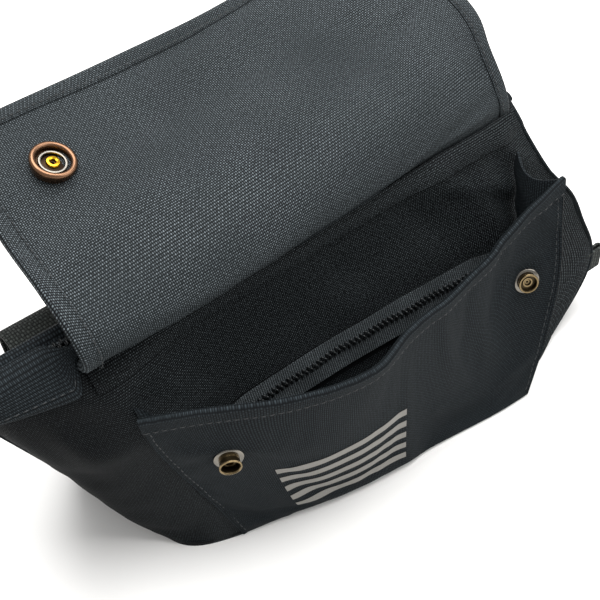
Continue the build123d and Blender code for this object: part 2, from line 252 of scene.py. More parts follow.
# transfer film: flat warm grey bars
stripeFilm = plasticMaterial("reflective_transfer_film",
                             {"dark": "6c6a66", "light": "84817b", "grain": 1400.0, "rough": 0.55})
# stiffener inside the base: dull black sheet
boardPlastic = plasticMaterial("stiffener_board",
                               {"dark": "1a1b1c", "light": "2a2c2d", "grain": 60.0, "rough": 0.6})
# plated caps and rims: brown with rubbed coppery edges
antiqueBrass = metalMaterial("antique_plated_brass",
                             {"dark": "241a13", "bright": "80604a", "grain": 240.0, "rough": 0.36})
# stud cups: nearly black, with yellowish rims that are a painted rim highlight
bronze = metalMaterial("blackened_bronze", {"dark": "14100c", "bright": "7a6a4e", "grain": 300.0,
                                            "rough": 0.34})
# pan of the socket: near black as painted shade, standing for the shadow in the hollow behind the ring
panShadeBrass = metalMaterial("brass_dark_as_hollow_shade", {"dark": "0e0b09", "bright": "3d2f24", "grain": 240.0,
                                             "rough": 0.5})
# post in the socket: one small bright yellow spot
brightBrass = metalMaterial("bright_yellow_brass",
                            {"dark": "8a6410", "bright": "e3b32e", "grain": 200.0, "rough": 0.28})
# spring ring and stud flange: dim silvery rings
paleNickel = metalMaterial("nickel_plated_steel",
                           {"dark": "34322f", "bright": "75716a", "grain": 200.0, "rough": 0.3})
# zip sliders and pulls: dark grey metal with worn edges
zipMetal = metalMaterial("black_lacquered_zinc",
                         {"dark": "1b1c1d", "bright": "5c5f61", "grain": 160.0, "rough": 0.42})
print("materials made")


# sheets of cloth
def smoothThrough(keys, values, query):
    # cubic through the keys, with no overshoot at flat places
    keys, values = np.asarray(keys, float), np.asarray(values, float)
    step = np.diff(keys)
    rate = np.diff(values, axis=0) / step[:, None]
    slope = np.zeros_like(values)
    slope[1:-1] = (rate[:-1] * step[1:, None] + rate[1:] * step[:-1, None]) / (step[:-1] + step[1:])[:,
            None]
    slope[0], slope[-1] = rate[0], rate[-1]
    at = np.clip(np.searchsorted(keys, query, side="right") - 1, 0, len(keys) - 2)
    t = ((query - keys[at]) / step[at])[:, None]
    h = step[at][:, None]
    a, b = values[at], values[at + 1]
    return ((2 * t ** 3 - 3 * t ** 2 + 1) * a + (t ** 3 - 2 * t ** 2 + t) * h * slope[at]
            + (3 * t ** 2 - 2 * t ** 3) * b + (t ** 3 - t ** 2) * h * slope[at + 1])


def surfaceThrough(across, up, table):
    # table[row][column] is a point in mm; gives a function of u, v in 0..1
    table = np.asarray(table, float)

    def place(u, v):
        us, uAt = np.unique(np.round(u, 6), return_inverse=True)
        rows = np.stack([smoothThrough(across, row, us) for row in table])
        out = np.zeros((len(u), 3))
        for k in range(len(us)):
            here = uAt == k
            out[here] = smoothThrough(up, rows[:, k], v[here])
        return out

    return place


def clothGrid(name, columns, rows, place, material):
    deselectAll()
    bpy.ops.mesh.primitive_grid_add(x_subdivisions=columns, y_subdivisions=rows, size=2, calc_uvs=True)
    piece = bpy.context.object
    piece.name = name
    mesh = piece.data
    flat = np.zeros(len(mesh.vertices) * 3)
    mesh.vertices.foreach_get("co", flat)
    flat = flat.reshape(-1, 3)
    u, v = (flat[:, 0] + 1) / 2, (flat[:, 1] + 1) / 2
    points = place(u, v)
    mesh.vertices.foreach_set("co", (points * mm).ravel())
    order = np.lexsort((u.round(5), v.round(5)))
    net = points[order].reshape(rows + 1, columns + 1, 3)
    wide = np.linalg.norm(np.diff(net, axis=1), axis=2).sum(1).mean()
    tall = np.linalg.norm(np.diff(net, axis=0), axis=2).sum(0).mean()
    corners = np.zeros(len(mesh.loops), int)
    mesh.loops.foreach_get("vertex_index", corners)
    lay = np.stack([u[corners] * wide * mm, v[corners] * tall * mm], 1)
    mesh.uv_layers[0].data.foreach_set("uv", lay.ravel())
    mesh.uv_layers[0].name = "UVMap"
    mesh.update()
    mesh.materials.append(material)
    grids[name] = (order, rows + 1, columns + 1)
    return piece


def creases(points, folds):
    # each fold: a line from one point to another (mm), its half width, height and the way it stands
    moved = points.copy()
    for start, end, half, height, way in folds:
        start, end = np.array(start, float), np.array(end, float)
        run = end - start
        t = np.clip(((points - start) @ run) / (run @ run), 0, 1)
        off = np.linalg.norm(points - start - t[:, None] * run, axis=1)
        strength = np.exp(-(off / half) ** 2) * np.sin(np.clip(t, 0.02, 0.98) * math.pi) ** 0.5
        moved += np.outer(strength * height, way)
    return moved


def rowsAndColumns(name):
    # which row and column of its sheet each point is in
    order, rows, columns = grids[name]
    rowsOf, colsOf = np.zeros(len(order), int), np.zeros(len(order), int)
    rowsOf[order] = np.repeat(np.arange(rows), columns)
    colsOf[order] = np.tile(np.arange(columns), rows)
    return rowsOf, colsOf, rows, columns


def netOf(name):
    # the sheet's points as rows and columns, in mm
    mesh = bpy.data.objects[name].data
    flat = np.zeros(len(mesh.vertices) * 3)
    mesh.vertices.foreach_get("co", flat)
    order, rows, columns = grids[name]
    return flat.reshape(-1, 3)[order].reshape(rows, columns, 3) / mm


def onSheet(name, u, v, lift=0.0):
    # points on a sheet at u, v in 0..1, raised by lift mm off its face
    net = nets[name]
    rows, columns = net.shape[:2]
    u, v = np.broadcast_arrays(np.asarray(u, float), np.asarray(v, float))
    x, y = np.clip(u, 0, 1) * (columns - 1), np.clip(v, 0, 1) * (rows - 1)
    i, j = np.clip(x.astype(int), 0, columns - 2), np.clip(y.astype(int), 0, rows - 2)
    s, t = (x - i)[..., None], (y - j)[..., None]
    spot = ((1 - s) * (1 - t) * net[j, i] + s * (1 - t) * net[j, i + 1]
            + (1 - s) * t * net[j + 1, i] + s * t * net[j + 1, i + 1])
    acrossWay = net[j, i + 1] - net[j, i] + net[j + 1, i + 1] - net[j + 1, i]
    upWay = net[j + 1, i] - net[j, i] + net[j + 1, i + 1] - net[j, i + 1]
    out = np.cross(acrossWay, upWay)
    out /= np.maximum(np.linalg.norm(out, axis=-1, keepdims=True), 1e-9)
    return spot + out * lift, out


nets = {}


def settleCloth(piece, pinned, frames, spread, push, cap, gravity=0.3, ease=3):
    # runs cloth from the laid-out shape; spread is how much bigger the cloth is than its place
    mesh = piece.data
    start = np.zeros(len(mesh.vertices) * 3)
    mesh.vertices.foreach_get("co", start)
    start = start.reshape(-1, 3)
    held = piece.vertex_groups.new(name="held")
    for index, weight in enumerate(pinned):
        if weight > 0:
            held.add([index], float(weight), "REPLACE")
    cloth = piece.modifiers.new("Cloth", "CLOTH")
    settings = cloth.settings
    settings.vertex_group_mass = "held"
    settings.quality = 5
    settings.mass = 0.25
    settings.air_damping = 3
    settings.tension_stiffness = 20
    settings.compression_stiffness = 20
    settings.shear_stiffness = 8
    settings.bending_stiffness = 1.5
    settings.shrink_min = -spread
    settings.shrink_max = -spread
    settings.use_pressure = push != 0
    settings.uniform_pressure_force = push
    settings.effector_weights.gravity = gravity
    cloth.point_cache.frame_start = 1
    cloth.point_cache.frame_end = frames
    for step in range(1, frames + 1):
        bpy.context.scene.frame_set(step)
    deselectAll()
    bpy.context.view_layer.objects.active = piece
    piece.select_set(True)
    bpy.ops.object.modifier_apply(modifier="Cloth")
    bpy.context.scene.frame_set(1)
    end = np.zeros(len(start) * 3)
    piece.data.vertices.foreach_get("co", end)
    move = end.reshape(-1, 3) - start
    far = np.linalg.norm(move, axis=1, keepdims=True)
    move *= np.minimum(1, cap * mm / np.maximum(far, 1e-9))
    # the folds are eased so that no two rows of cloth cross
    order, rows, columns = grids[piece.name]
    net = move[order].reshape(rows, columns, 3)
    for _ in range(ease):
        wide = np.pad(net, ((1, 1), (1, 1), (0, 0)), "edge")
        net = (wide[:-2, 1:-1] + wide[2:, 1:-1] + wide[1:-1, :-2] + wide[1:-1, 2:] + 4 * net) / 8
    net *= (1 - pinned[order].reshape(rows, columns, 1)) ** 0.5
    move[order] = net.reshape(-1, 3)
    piece.data.vertices.foreach_set("co", (start + move).ravel())
    piece.data.update()
    print("settled", piece.name, "moved up to", round(float(far.max() / mm), 1), "mm")


def giveThickness(piece, thickness, offset=-1.0, smooth=1):
    deselectAll()
    bpy.context.view_layer.objects.active = piece
    piece.select_set(True)
    if smooth:
        finer = piece.modifiers.new("finer", "SUBSURF")
        finer.levels = smooth
        finer.render_levels = smooth
        bpy.ops.object.modifier_apply(modifier="finer")
    wall = piece.modifiers.new("wall", "SOLIDIFY")
    wall.thickness = thickness * mm
    wall.offset = offset
    bpy.ops.object.modifier_apply(modifier="wall")
    bpy.ops.object.shade_smooth_by_angle(angle=math.radians(50))
    return piece


def settlePlace(piece, body, slot, *stands):
    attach(piece, body)
    if stands:
        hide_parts(*stands)
    return piece


def smallTube(name, path, radius, material, sides=8):
    # a rolled edge or cord: a ring carried along the path (mm), ends closed
    path = np.asarray(path, float)
    along = np.gradient(path, axis=0)
    along /= np.linalg.norm(along, axis=1, keepdims=True)
    upward = np.array([0.0, 0.0, 1.0])
    side = np.cross(along, upward)
    side /= np.maximum(np.linalg.norm(side, axis=1, keepdims=True), 1e-6)
    high = np.cross(side, along)
    angles = np.arange(sides) / sides * 2 * math.pi
    radii = radius if np.ndim(radius) == 2 else np.array([[radius, radius]])
    rings = (path[:, None] + side[:, None] * np.cos(angles)[None, :, None] * radii[0, 0]
             + high[:, None] * np.sin(angles)[None, :, None] * radii[0, 1])
    mesh = bpy.data.meshes.new(name)
    bm = bmesh.new()
    verts = [[bm.verts.new(p * mm) for p in ring] for ring in rings]
    lay = bm.loops.layers.uv.new("UVMap")
    length = np.concatenate([[0], np.cumsum(np.linalg.norm(np.diff(path, axis=0), axis=1))])
    for i in range(len(verts) - 1):
        for k in range(sides):
            face = bm.faces.new((verts[i][k], verts[i][(k + 1) % sides], verts[i + 1][(k + 1) % sides],
                                 verts[i + 1][k]))
            for loop, (row, turn) in zip(face.loops, ((i, k), (i, k + 1), (i + 1, k + 1), (i + 1, k))):
                loop[lay].uv = (length[row] * mm, turn / sides * 2 * math.pi * radii[0].mean() * mm)
    bm.faces.new(verts[0])
    bm.faces.new(verts[-1])
    bmesh.ops.recalc_face_normals(bm, faces=bm.faces)
    bm.to_mesh(mesh)
    bm.free()
    mesh.materials.append(material)
    piece = bpy.data.objects.new(name, mesh)
    bpy.context.scene.collection.objects.link(piece)
    for face in mesh.polygons:
        face.use_smooth = True
    return piece


def stitchRun(name, paths, material, body, slot, length=2.3, pitch=3.1, radius=0.24):
    # each stitch is modelled once and laid along the seam, sunk at both ends
    deselectAll()
    bpy.ops.mesh.primitive_cylinder_add(vertices=6, radius=radius * mm, depth=length * mm,
                                        end_fill_type="NGON")
    one = bpy.context.object
    bpy.ops.object.mode_set(mode="EDIT")
    bpy.ops.mesh.select_all(action="SELECT")
    bpy.ops.mesh.bisect(plane_co=(0, 0, 0), plane_no=(0, 0, 1))
    bpy.ops.object.mode_set(mode="OBJECT")
    shape = np.array([v.co for v in one.data.vertices])
    ends = np.abs(shape[:, 2]) > length * mm * 0.4
    shape[ends, :2] *= 0.55
    shape[ends, 0] -= radius * mm * 0.9
    shape[~ends, 0] += radius * mm * 0.25
    faces = [list(f.vertices) for f in one.data.polygons]
    bpy.data.objects.remove(one)
    points, made = [], []
    for path, normal in paths:
        path, normal = np.asarray(path, float), np.asarray(normal, float)
        run = np.concatenate([[0], np.cumsum(np.linalg.norm(np.diff(path, axis=0), axis=1))])
        count = max(2, int(run[-1] / pitch))
        for k in range(count):
            where = (k + 0.5) / count * run[-1]
            spot = np.array([np.interp(where, run, path[:, a]) for a in range(3)])
            ahead = np.array([np.interp(min(where + 1, run[-1]), run, path[:, a]) for a in range(3)])
            behind = np.array([np.interp(max(where - 1, 0), run, path[:, a]) for a in range(3)])
            up = np.array([np.interp(where, run, normal[:, a]) for a in range(3)])
            way = ahead - behind
            way /= np.linalg.norm(way)
            up -= way * (up @ way)
            up /= np.linalg.norm(up)
            turn = np.stack([up, np.cross(way, up), way], 1)
            first = sum(len(p) for p in points)
            points.append(shape @ turn.T + spot * mm)
            made += [[first + i for i in face] for face in faces]
    mesh = bpy.data.meshes.new(name)
    mesh.from_pydata(np.concatenate(points).tolist(), [], made)
    mesh.materials.append(material)
    for face in mesh.polygons:
        face.use_smooth = True
    piece = bpy.data.objects.new(name, mesh)
    bpy.context.scene.collection.objects.link(piece)
    if body:
        return settlePlace(piece, body, slot)
    return piece or piece


# body shell
# corner tracks of the shell, each from the base up to the ridge slot, in mm
bagShape = {
    "heights": [0.0, 0.2, 0.5, 0.8, 0.93, 1.0],
    "tracks": [
        ("frontLeft", [(-103, -25, 0), (-113, -16, 21), (-127, -8, 54), (-139, -7, 87), (-146, -7, 102),
                       (-150, -6, 109.5)]),
        ("wing", [(-90, -37, 0), (-99, -32, 20), (-110, -24, 54), (-120, -21, 87), (-124, -13, 102),
                  (-128, -6, 109.5)]),
        ("pocketLeft", [(-74, -43, 0), (-80, -40, 20), (-90, -35, 54), (-97, -31, 88), (-99, -17, 102.5),
                        (-101, -6, 109.5)]),
        ("inLeft", [(-52, -47, 0), (-58, -40, 20), (-62, -31, 54), (-66, -19, 88), (-68, -12, 102),
                    (-70, -6, 109.5)]),
        ("frontMid", [(0, -54, 0), (0, -45, 21), (0, -31, 54), (0, -17.5, 87), (0, -11, 102),
                      (0, -6, 109.5)]),
        ("pocketRight", [(66, -61, 0), (68, -50, 21), (72, -36, 54), (76, -21, 87), (77, -12, 102),
                         (78, -5, 109.5)]),
        ("frontRight", [(96, -53, 0), (131, -45, 22), (128, -37, 54), (110, -22, 87), (106, -10, 102),
                        (104, -2, 109.5)]),
        ("rightEnd", [(104, 0, 0), (124, -6, 21), (121, -4, 54), (109, 2, 87), (105, 3, 102),
                      (104, 3.5, 109.5)]),
        ("backRight", [(102, 50, 0), (107, 43, 21), (107, 30, 54), (105, 16, 87), (104, 11, 102),
                       (104, 9, 109.5)]),
        ("backMid", [(0, 52, 0), (0, 46, 21), (0, 33, 54), (0, 18, 87), (0, 10, 102), (0, 6, 109.5)]),
        ("backLeft", [(-102, 50, 0), (-113, 42, 21), (-127, 28, 54), (-140, 14, 87), (-146, 9, 102),
                      (-150, 6, 109.5)]),
        ("leftEnd", [(-104, 12, 0), (-116, 10, 21), (-129, 8, 54), (-142, 4, 87), (-147, 1.5, 102),
                     (-151, 0, 109.5)]),
    ],
    "share": [0.045, 0.055, 0.065, 0.12, 0.13, 0.06, 0.10, 0.09, 0.15, 0.12, 0.065],
    "columns": 240, "rows": 44, "thickness": 1.2,
}


def bagPlace(u, v):
    shape = bagShape
    tracks = np.array([t[1] for t in shape["tracks"]], float)
    tracks = np.concatenate([tracks, tracks[:1]])
    stops = np.concatenate([[0], np.cumsum(shape["share"] + [0])])
    stops = np.append(stops[:-1], 1.0)
    us, uAt = np.unique(np.round(u, 6), return_inverse=True)
    vs, vAt = np.unique(np.round(v, 6), return_inverse=True)
    net = np.zeros((len(vs), len(us), 3))
    for j, height in enumerate(vs):
        ring = np.stack([smoothThrough(shape["heights"], track, np.array([height]))[0] for track in tracks])
        for a in range(3):
            net[j, :, a] = np.interp(us, stops, ring[:, a])
    # round the corners by averaging along the ring, less near the ridge slot
    body = net[:, :-1]
    for _ in range(26):
        blurred = (np.roll(body, 1, 1) + np.roll(body, -1, 1)) / 2
        body = body * 0.5 + blurred * 0.5
    tight = net[:, :-1].copy()
    for _ in range(5):
        tight = tight * 0.5 + (np.roll(tight, 1, 1) + np.roll(tight, -1, 1)) / 4
    weight = np.clip((vs - 0.9) / 0.1, 0, 1)[:, None, None]
    body = body * (1 - weight) + tight * weight
    net = np.concatenate([body, body[:, :1]], 1)
    return net[vAt, uAt]


wallFolds = [
    ((52, -14, 98), (96, -24, 78), 5.0, 2.6, (0, -1, 0.2)), ((66, -16, 96), (98, -30, 62), 4.5, -2.4,
            (0, -1, 0.2)),
    ((84, -8, 104), (104, -24, 84), 4.0, 2.2, (0.3, -1, 0.2)), ((30, -12, 100), (60, -26, 70), 8.0, -1.8,
            (0, -1, 0.2)),
    ((-20, -12, 100), (10, -28, 62), 10.0, 1.6, (0, -1, 0.2)), ((-86, -22, 98), (-66, -26, 72), 6.0, 1.8,
            (0, -1, 0.2)),
    ((-108, -12, 104), (-118, -22, 60), 7.0, 1.6, (-0.4, -1, 0)), ((-128, -10, 98), (-108, -24, 30), 6.0,
            -1.5, (-0.4, -1, 0)),
    ((112, -30, 80), (124, -30, 30), 5.0, 2.0, (1, -0.5, 0)), ((106, -10, 92), (118, -14, 50), 5.0, -1.8,
            (1, 0, 0)),
    ((-60, 38, 40), (20, 26, 66), 9.0, 1.5, (0, 1, 0.3)), ((80, 24, 80), (100, 42, 20), 7.0, 1.6,
                                                           (0.3, 1, 0)),
    ((-130, 14, 80), (-112, 30, 20), 6.0, 1.6, (-1, 0.3, 0)), ((-100, 20, 90), (-60, 30, 60), 8.0, -1.4,
            (0, 1, 0.3)),
]
shell = clothGrid("bagShell", bagShape["columns"], bagShape["rows"], lambda u,
                  v: creases(bagPlace(u, v), wallFolds), shellCloth)
rowsOf, colsOf, gridRows, gridColumns = rowsAndColumns("bagShell")
stops = np.round(np.cumsum([0] + bagShape["share"]) * bagShape["columns"]).astype(int)
cornerColumns = [stops[0], stops[6], stops[8], stops[10]]
pins = np.zeros(len(rowsOf))
pins[(rowsOf <= 0) | (rowsOf >= gridRows - 5)] = 1
for column in cornerColumns + [stops[2], stops[5], gridColumns - 1]:
    pins[(colsOf == column)] = 1
settleCloth(shell, pins, 14, 0.014, 0.0, 4.0, gravity=0.5, ease=4)
nets["bagShell"] = netOf("bagShell")


def cutOut(name, firstColumn, lastColumn, material, stands):
    # one panel of the shell, from one seam column to the next
    columns = lastColumn - firstColumn
    source = nets["bagShell"]
    rows = source.shape[0] - 1

    def place(u, v):
        i = np.round(u * columns).astype(int) + firstColumn
        j = np.round(v * rows).astype(int)
        return source[j, i % (source.shape[1] - 1) if lastColumn > source.shape[1] - 1 else i]

    piece = clothGrid(name, columns, rows, place, material)
    nets[name] = netOf(name)
    giveThickness(piece, bagShape["thickness"], offset=-1.0, smooth=0)
    return settlePlace(piece, "bag", "shell_fabric", *stands)


cutOut("front_body_panel", stops[0], stops[6], wallCloth, ["front_wall"])
cutOut("right_end_gusset", stops[6], stops[8], shellCloth, ["right_end_panel"])
cutOut("back_body_panel", stops[8], stops[10], shellCloth, ["back_wall"])
cutOut("left_end_gusset", stops[10], bagShape["columns"], shellCloth, ["left_end_panel"])
bottomRing = nets["bagShell"][0]
bpy.data.objects.remove(shell)
print("body shell made")


# the base closes the shell and sags a little over its stiffener
baseLook = {"left": -104.0, "right": 104.0, "height": 1.3, "sag": 0.5}


def basePlace(u, v):
    x = baseLook["left"] + (baseLook["right"] - baseLook["left"]) * u
    ring = bottomRing
    frontPart, backPart = ring[ring[:, 1] < 4], ring[ring[:, 1] >= 4]
    frontPart = frontPart[np.argsort(frontPart[:, 0])]
    backPart = backPart[np.argsort(backPart[:, 0])]
    low = np.interp(x, frontPart[:, 0], frontPart[:, 1])
    high = np.interp(x, backPart[:, 0], backPart[:, 1])
    y = low + (high - low) * v
    z = baseLook["height"] + baseLook["sag"] * np.sin(u * 9.0) * np.sin(v * math.pi)
    return np.stack([x, y, z], 1)


base = clothGrid("base_panel_cloth", 60, 30, basePlace, shellCloth)
giveThickness(base, 1.3, offset=1.0, smooth=0)
settlePlace(base, "bag", "shell_fabric", "base_panel")
board = clothGrid("base_board", 60, 20, lambda u, v: basePlace(u, v) * [0.93, 0.9, 0] + [0, 0, 4.2],
                  boardPlastic)
giveThickness(board, 1.6, offset=0.0, smooth=0)
settlePlace(board, "bag", "board", "base_stiffener")


# ridge zip
# a folded lip runs along each side of the slot, with a second fold line below it
# past "opens" (a share of the panel's width) the flap is sewn on and the lip is narrow
lipLook = {"deep": 0.085, "shallow": 0.014, "rise": 1.5, "opens": 0.19, "fades": 0.03}


def lipPlace(name, inward):
    def place(u, v):
        # v 0 at the lower edge of the fold, 1 over the top and down inside
        along = u if inward > 0 else 1 - u
        free = np.clip((lipLook["opens"] - along) / lipLook["fades"], 0, 1)
        depth = lipLook["shallow"] + (lipLook["deep"] - lipLook["shallow"]) * free
        spot, out = onSheet(name, u, 1 - (1 - np.minimum(v / 0.7, 1)) * depth, 0.0)
        over = np.clip((v - 0.7) / 0.3, 0, 1)
        lift = lipLook["rise"] * np.clip(v / 0.06, 0, 1) * (1 - over)
        spot = spot + out * lift[:, None]
        spot[:, 2] += 1.9 * np.sin(over * math.pi * 0.5) - over ** 2 * 3.2
        spot[:, 1] += inward * (2.8 + (5.2 if inward > 0 else 0.6) * free) * over
        spot[:, 2] += (2.4 if inward > 0 else 0.0) * free * np.sin(over * math.pi * 0.5)
        return spot
    return place


frontLip = clothGrid("ridge_lip_front", 150, 12, lipPlace("front_body_panel", 1.0), shellCloth)
nets["ridge_lip_front"] = netOf("ridge_lip_front")
giveThickness(frontLip, 0.9, offset=1.0)
settlePlace(frontLip, "bag", "shell_fabric")
backLip = clothGrid("ridge_lip_back", 150, 12, lipPlace("back_body_panel", -1.0), shellCloth)
nets["ridge_lip_back"] = netOf("ridge_lip_back")
giveThickness(backLip, 0.9, offset=1.0)
settlePlace(backLip, "bag", "shell_fabric")

frontRidge = nets["front_body_panel"][-1]
backRidge = nets["back_body_panel"][-1][::-1]


def ridgeAt(x, side):
    line = frontRidge if side < 0 else backRidge
    keep = np.argsort(line[:, 0])
    return np.interp(x, line[keep, 0], line[keep, 1])


ridgeTape = {"left": -146.0, "right": 102.0, "height": 108.2}


def ridgeTapePlace(side):
    def place(u, v):
        x = ridgeTape["left"] + (ridgeTape["right"] - ridgeTape["left"]) * u
        outer = ridgeAt(x, side)
        middle = (ridgeAt(x, -1) + ridgeAt(x, 1)) / 2 + side * 0.9
        y = outer + side * 0.8 + (middle - outer - side * 0.8) * v
        z = ridgeTape["height"] + 0.5 * np.sin(v * math.pi) + 0.25 * np.sin(u * 60)
        return np.stack([x, y, z], 1)
    return place


for side, label, stand in ((-1, "front", "ridge_zip_front_tape"), (1, "back", "ridge_zip_back_tape")):
    tape = clothGrid("ridge_tape_" + label, 140, 5, ridgeTapePlace(side), tapeCloth)
    giveThickness(tape, 0.8, offset=0.0, smooth=0)
    settlePlace(tape, "bag", "zip_tape", stand)


def coilOn(name, path, out, width, height, pitch, stand):
    # two rows of nylon loops that meet in the middle; one loop is modelled and copied along the tape
    path, out = np.asarray(path, float), np.asarray(out, float)
    run = np.concatenate([[0], np.cumsum(np.linalg.norm(np.diff(path, axis=0), axis=1))])
    count = int(run[-1] / pitch)
    ring, thick = 5, 0.42
    turns = np.linspace(0, 2 * math.pi, 9)[:-1]
    points, faces = [], []
    for k in range(count):
        where = (k + 0.5) / count * run[-1]
        spot = np.array([np.interp(where, run, path[:, a]) for a in range(3)])
        nearby = np.array([np.interp(min(where + 1, run[-1]), run, path[:, a]) for a in range(3)])
        behind = np.array([np.interp(max(where - 1, 0), run, path[:, a]) for a in range(3)])
        up = np.array([np.interp(where, run, out[:, a]) for a in range(3)])
        way = (nearby - behind) / np.linalg.norm(nearby - behind)
        up = up - way * (up @ way)
        up /= np.linalg.norm(up)
        cross = np.cross(up, way)
        hand = 1 if k % 2 else -1
        first = len(points)
        for angle in turns:
            centre = (spot + cross * (hand * width * 0.21 + math.cos(angle) * width * 0.27)
                      + up * (height * 0.5 + math.sin(angle) * height * 0.36)
                      + way * (math.sin(angle) * pitch * 0.25))
            outward = cross * math.cos(angle) + up * math.sin(angle)
            for s in range(ring):
                bend = s / ring * 2 * math.pi
                points.append(centre + outward * (math.cos(bend) * thick) + way * (math.sin(bend) * thick))
        for a in range(8):
            for s in range(ring):
                p, q = first + a * ring + s, first + a * ring + (s + 1) % ring
                r, t = first + (a + 1) % 8 * ring + (s + 1) % ring, first + (a + 1) % 8 * ring + s
                faces.append((p, t, r, q))
    made = bpy.data.meshes.new(name)
    made.from_pydata((np.array(points) * mm).tolist(), [], faces)
    made.materials.append(coilNylon)
    for face in made.polygons:
        face.use_smooth = True
    piece = bpy.data.objects.new(name, made)
    bpy.context.scene.collection.objects.link(piece)
    return settlePlace(piece, "bag", "zip_coil", stand)


ridgeX = np.linspace(-144, 101, 120)
ridgeMid = np.stack([ridgeX, (ridgeAt(ridgeX, -1) + ridgeAt(ridgeX, 1)) / 2, np.full(120, 108.4)], 1)
coilOn("ridge_coil", ridgeMid, np.tile([0, 0, 1.0], (120, 1)), 4.4, 1.7, 1.3, "ridge_zip_coil")
print("ridge zip made")


# front pocket
pocketShape = {
    "across": [0.0, 0.13, 0.27, 0.42, 0.56, 0.72, 0.87, 1.0],
    "up": [0.0, 0.3, 0.6, 0.85, 1.0],
    "net": [
        [(-73, -43.5, 1), (-56, -47.5, 1), (-38, -52, 1), (-18, -56, 1), (4, -59, 1), (28, -62.5, 1),
         (50, -65.5, 1), (66, -66.5, 1)],
        [(-81, -39.5, 27), (-65, -44, 27), (-43, -52, 27), (-19, -57.5, 27), (5, -59.5, 26),
         (32, -60.5, 26), (59, -58.5, 26), (77, -62.5, 27)],
        [(-91, -35, 56), (-74, -45.2, 56), (-47, -54.5, 56), (-20, -59.5, 55), (6, -58.5, 54),
         (36, -54.5, 54), (72, -46.8, 55), (88.5, -55.5, 56)],
        [(-97, -33.5, 79), (-80, -41.5, 78), (-49, -57, 77), (-20, -62.5, 76), (5, -57.5, 75),
         (38, -52.5, 75), (75, -44.5, 79), (94, -47, 82)],
        [(-98.5, -33, 91), (-81, -41, 89.5), (-48, -57.5, 87), (-19, -64, 85), (4, -57.5, 84.5),
         (38, -53, 84.5), (75, -44.5, 89), (98, -42, 94)],
    ],
    "columns": 110, "rows": 50, "thickness": 1.4,
}
pocketFolds = [
    ((22, -55, 84), (18, -60, 20), 5.0, 1.6, (0, -1, 0)), ((38, -53, 84), (30, -58, 30), 5.5, -1.8,
                                                           (0, -1, 0)),
    ((52, -50, 86), (46, -58, 24), 5.0, 1.7, (0, -1, 0)), ((60, -48, 86), (57, -57, 40), 4.0, -1.2,
                                                           (0, -1, 0)),
    ((86, -45, 90), (80, -50, 40), 4.0, 1.2, (0, -1, 0)), ((-60, -52, 84), (-50, -52, 30), 7.0, 1.0,
                                                           (0, -1, 0)),
    ((-30, -62, 80), (-70, -46, 30), 8.0, -1.0, (0, -1, 0)), ((0, -58, 30), (50, -62, 12), 6.0, 1.2,
            (0, -1, 0)),
]
pocketRaw = surfaceThrough(pocketShape["across"], pocketShape["up"], pocketShape["net"])
pocket = clothGrid("pocket_panel", pocketShape["columns"], pocketShape["rows"],
                   lambda u, v: creases(pocketRaw(u, v), pocketFolds), shellCloth)
rowsOf, colsOf, gridRows, gridColumns = rowsAndColumns("pocket_panel")
count = len(rowsOf)
order = grids["pocket_panel"][0]
pins = np.zeros(count)
pins[(rowsOf == 0) | (colsOf == 0) | (colsOf == gridColumns - 1)] = 1
pins[rowsOf >= gridRows - 3] = 0.9
spots = netOf("pocket_panel")
flatSpots = np.zeros((count, 3))
flatSpots[order] = spots.reshape(-1, 3)
for studX in (-74, 74):
    near = np.hypot(flatSpots[:, 0] - studX, flatSpots[:, 2] - 55.4) < 9
    pins[near] = 1
settleCloth(pocket, pins, 16, 0.02, 0.0, 4.0, gravity=0.5, ease=3)
nets["pocket_panel"] = netOf("pocket_panel")
giveThickness(pocket, pocketShape["thickness"], offset=-1.0)
settlePlace(pocket, "bag", "shell_fabric", "pocket_front")


def pocketHemPlace(u, v):
    # folds over the mouth: v 0 outside below the fold, 1 inside
    outside = np.clip(v / 0.46, 0, 1)
    inside = np.clip((v - 0.54) / 0.46, 0, 1)
    height = np.where(v < 0.5, 1 - (1 - outside) * 0.078, 1 - inside * 0.07)
    spot, out = onSheet("pocket_panel", u, height)
    turn = np.clip((v - 0.46) / 0.08, 0, 1)
    lift = np.where(v < 0.5, 0.15 + 0.3 * np.clip(v / 0.2, 0, 1), 0) * (1 - turn) + turn * -2.0
    spot = spot + out * lift[:, None]
    spot[:, 2] += 0.7 * np.sin(turn * math.pi)
    return spot


hem = clothGrid("pocket_mouth_hem", 160, 22, pocketHemPlace, shellCloth)
giveThickness(hem, 0.4, offset=1.0, smooth=0)
settlePlace(hem, "bag", "shell_fabric", "pocket_hem")


def wallAt(x, z):
    # where the front body panel stands at x, z
    net = nets["front_body_panel"].reshape(-1, 3)
    far = (net[:, 0][None] - x[:, None]) ** 2 + (net[:, 2][None] - z[:, None]) ** 2
    best = np.argsort(far, axis=1)[:, :4]
    weight = 1 / (np.take_along_axis(far, best, 1) + 0.01)
    return (net[:, 1][best] * weight).sum(1) / weight.sum(1)


def gussetPlace(edge, shift):
    def place(u, v):
        spot, _ = onSheet("pocket_panel", np.full(len(v), edge), v)
        wallX = spot[:, 0] + shift * (0.3 + 0.7 * v)
        wall = np.stack([wallX, wallAt(wallX, spot[:, 2]) - 0.6, spot[:, 2] + 1.5 * v], 1)
        ways = u[:, None]
        out = spot * (1 - ways) + wall * ways
        # the gusset folds inwards along its middle when the pocket is slack
        fold = np.sin(u * math.pi) * (0.35 + 0.65 * v)
        out[:, 0] += (1 if edge == 0 else -1) * 5.5 * fold
        out[:, 2] -= 4.0 * fold * v
        return out
    return place


